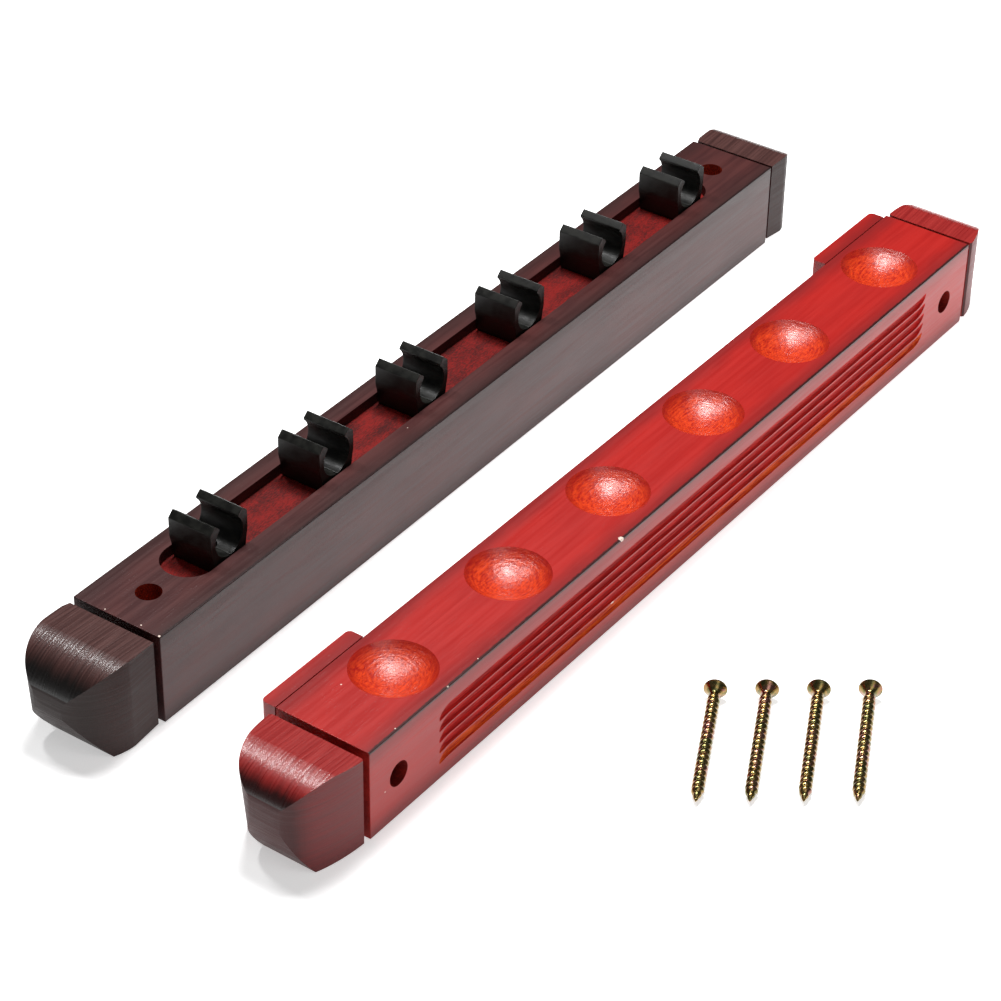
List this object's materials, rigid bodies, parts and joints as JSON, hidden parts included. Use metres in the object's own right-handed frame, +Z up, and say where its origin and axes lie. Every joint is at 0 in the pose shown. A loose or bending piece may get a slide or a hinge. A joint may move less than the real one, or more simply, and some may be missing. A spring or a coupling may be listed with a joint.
{
  "type": "wall cue rack",
  "caption": "Wall-mounted billiard cue rack in stained wood: a clip rail whose spring clips grip cue shafts, a base rail with cup hollows for cue butts, and its mounting screws.",
  "frame": {"origin": "middle of the footprint of the whole laid-out rack, on the surface that it lies on", "axes": "+X along the rails, from the near end to the far end; +Y from the base rail towards the clip rail; +Z up, out of the clips' mouths and the cups"},
  "size_m": [0.605, 0.3326, 0.069],
  "materials": {
    "dark_wood": "dark mahogany stain under satin lacquer",
    "red_wood": "red mahogany stain under satin lacquer",
    "black_plastic": "extruded, satin",
    "yellow_zinc": "steel with yellow passivated zinc plating",
    "dark_steel": "plain steel"
  },
  "bodies": {
    "clip_rail": {"clip_rail": "dark_wood", "clip_rail_cap_near": "dark_wood", "clip_rail_cap_far": "dark_wood", "clip_base_1": "black_plastic", "clip_base_2": "black_plastic", "clip_base_3": "black_plastic", "clip_base_4": "black_plastic", "clip_base_5": "black_plastic", "clip_base_6": "black_plastic", "clip_screw_1": "dark_steel", "clip_screw_2": "dark_steel", "clip_screw_3": "dark_steel", "clip_screw_4": "dark_steel", "clip_screw_5": "dark_steel", "clip_screw_6": "dark_steel"},
    "base_rail": {"base_rail": "red_wood", "base_rail_cap_near": "red_wood", "base_rail_cap_far": "red_wood", "stand_off_near": "red_wood", "stand_off_far": "red_wood"},
    "clip_1_near_jaw": {"clip_jaw_1_near": "black_plastic"},
    "clip_1_far_jaw": {"clip_jaw_1_far": "black_plastic"},
    "clip_2_near_jaw": {"clip_jaw_2_near": "black_plastic"},
    "clip_2_far_jaw": {"clip_jaw_2_far": "black_plastic"},
    "clip_3_near_jaw": {"clip_jaw_3_near": "black_plastic"},
    "clip_3_far_jaw": {"clip_jaw_3_far": "black_plastic"},
    "clip_4_near_jaw": {"clip_jaw_4_near": "black_plastic"},
    "clip_4_far_jaw": {"clip_jaw_4_far": "black_plastic"},
    "clip_5_near_jaw": {"clip_jaw_5_near": "black_plastic"},
    "clip_5_far_jaw": {"clip_jaw_5_far": "black_plastic"},
    "clip_6_near_jaw": {"clip_jaw_6_near": "black_plastic"},
    "clip_6_far_jaw": {"clip_jaw_6_far": "black_plastic"},
    "mounting_screw_1": {"mounting_screw_1": "yellow_zinc"},
    "mounting_screw_2": {"mounting_screw_2": "yellow_zinc"},
    "mounting_screw_3": {"mounting_screw_3": "yellow_zinc"},
    "mounting_screw_4": {"mounting_screw_4": "yellow_zinc"}
  },
  "joints": [
    {"name": "base_rail_lift", "type": "slide", "parent": "clip_rail", "child": "base_rail", "axis": [0, 0, 1], "range_m": [0, 0.1]},
    {"name": "clip_1_far_flex", "type": "hinge", "parent": "clip_rail", "child": "clip_1_far_jaw", "pos_m": [-0.17471, 0.14227, 0.05252], "axis": [0, 1, 0], "range_deg": [0, 10], "stiffness_Nm_per_rad": 0.6},
    {"name": "clip_1_near_flex", "type": "hinge", "parent": "clip_rail", "child": "clip_1_near_jaw", "pos_m": [-0.19931, 0.14227, 0.05252], "axis": [0, -1, 0], "range_deg": [0, 10], "stiffness_Nm_per_rad": 0.6},
    {"name": "clip_2_far_flex", "type": "hinge", "parent": "clip_rail", "child": "clip_2_far_jaw", "pos_m": [-0.09471, 0.14227, 0.05252], "axis": [0, 1, 0], "range_deg": [0, 10], "stiffness_Nm_per_rad": 0.6},
    {"name": "clip_2_near_flex", "type": "hinge", "parent": "clip_rail", "child": "clip_2_near_jaw", "pos_m": [-0.11931, 0.14227, 0.05252], "axis": [0, -1, 0], "range_deg": [0, 10], "stiffness_Nm_per_rad": 0.6},
    {"name": "clip_3_far_flex", "type": "hinge", "parent": "clip_rail", "child": "clip_3_far_jaw", "pos_m": [-0.01821, 0.14227, 0.05252], "axis": [0, 1, 0], "range_deg": [0, 10], "stiffness_Nm_per_rad": 0.6},
    {"name": "clip_3_near_flex", "type": "hinge", "parent": "clip_rail", "child": "clip_3_near_jaw", "pos_m": [-0.04281, 0.14227, 0.05252], "axis": [0, -1, 0], "range_deg": [0, 10], "stiffness_Nm_per_rad": 0.6},
    {"name": "clip_4_far_flex", "type": "hinge", "parent": "clip_rail", "child": "clip_4_far_jaw", "pos_m": [0.06579, 0.14227, 0.05252], "axis": [0, 1, 0], "range_deg": [0, 10], "stiffness_Nm_per_rad": 0.6},
    {"name": "clip_4_near_flex", "type": "hinge", "parent": "clip_rail", "child": "clip_4_near_jaw", "pos_m": [0.04119, 0.14227, 0.05252], "axis": [0, -1, 0], "range_deg": [0, 10], "stiffness_Nm_per_rad": 0.6},
    {"name": "clip_5_far_flex", "type": "hinge", "parent": "clip_rail", "child": "clip_5_far_jaw", "pos_m": [0.14229, 0.14227, 0.05252], "axis": [0, 1, 0], "range_deg": [0, 10], "stiffness_Nm_per_rad": 0.6},
    {"name": "clip_5_near_flex", "type": "hinge", "parent": "clip_rail", "child": "clip_5_near_jaw", "pos_m": [0.11769, 0.14227, 0.05252], "axis": [0, -1, 0], "range_deg": [0, 10], "stiffness_Nm_per_rad": 0.6},
    {"name": "clip_6_far_flex", "type": "hinge", "parent": "clip_rail", "child": "clip_6_far_jaw", "pos_m": [0.21929, 0.14227, 0.05252], "axis": [0, 1, 0], "range_deg": [0, 10], "stiffness_Nm_per_rad": 0.6},
    {"name": "clip_6_near_flex", "type": "hinge", "parent": "clip_rail", "child": "clip_6_near_jaw", "pos_m": [0.19469, 0.14227, 0.05252], "axis": [0, -1, 0], "range_deg": [0, 10], "stiffness_Nm_per_rad": 0.6},
    {"name": "mounting_screw_1_lift", "type": "slide", "parent": "clip_rail", "child": "mounting_screw_1", "axis": [0, 0, 1], "range_m": [0, 0.05]},
    {"name": "mounting_screw_2_lift", "type": "slide", "parent": "clip_rail", "child": "mounting_screw_2", "axis": [0, 0, 1], "range_m": [0, 0.05]},
    {"name": "mounting_screw_3_lift", "type": "slide", "parent": "clip_rail", "child": "mounting_screw_3", "axis": [0, 0, 1], "range_m": [0, 0.05]},
    {"name": "mounting_screw_4_lift", "type": "slide", "parent": "clip_rail", "child": "mounting_screw_4", "axis": [0, 0, 1], "range_m": [0, 0.05]}
  ],
  "couplings": [
    {"joint": "clip_1_near_flex", "follows": "clip_1_far_flex", "ratio": 1},
    {"joint": "clip_2_near_flex", "follows": "clip_2_far_flex", "ratio": 1},
    {"joint": "clip_3_near_flex", "follows": "clip_3_far_flex", "ratio": 1},
    {"joint": "clip_4_near_flex", "follows": "clip_4_far_flex", "ratio": 1},
    {"joint": "clip_5_near_flex", "follows": "clip_5_far_flex", "ratio": 1},
    {"joint": "clip_6_near_flex", "follows": "clip_6_far_flex", "ratio": 1}
  ]
}
